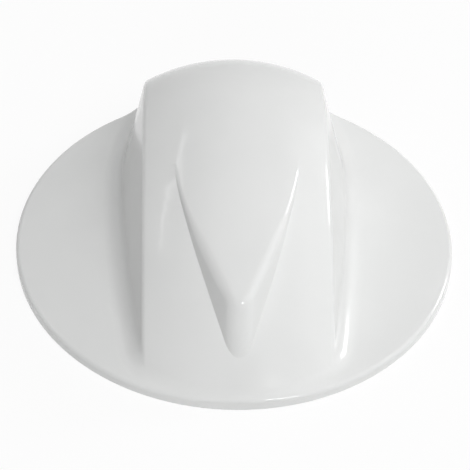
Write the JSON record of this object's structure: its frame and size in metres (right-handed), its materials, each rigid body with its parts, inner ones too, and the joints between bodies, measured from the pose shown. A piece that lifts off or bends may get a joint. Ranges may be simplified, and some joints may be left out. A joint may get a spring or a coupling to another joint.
{
  "type": "washing machine knob",
  "caption": "Round white selector knob with a thin skirt, a tall crowned finger grip and a raised arrow pointer, pushed onto a flatted shaft.",
  "frame": {"origin": "where the shaft axis meets the plane of the rim, at the bottom of the skirt", "axes": "+Z along the shaft axis, out of the panel towards the hand; -Y the way the pointer points; +X to the right of the pointer seen from its front"},
  "size_m": [0.065, 0.065, 0.0202],
  "materials": {
    "white_plastic": "gloss moulded ABS",
    "spring_steel": "plain strip"
  },
  "bodies": {
    "root": {"knob_body": "white_plastic", "shaft_clip": "spring_steel"}
  },
  "joints": []
}
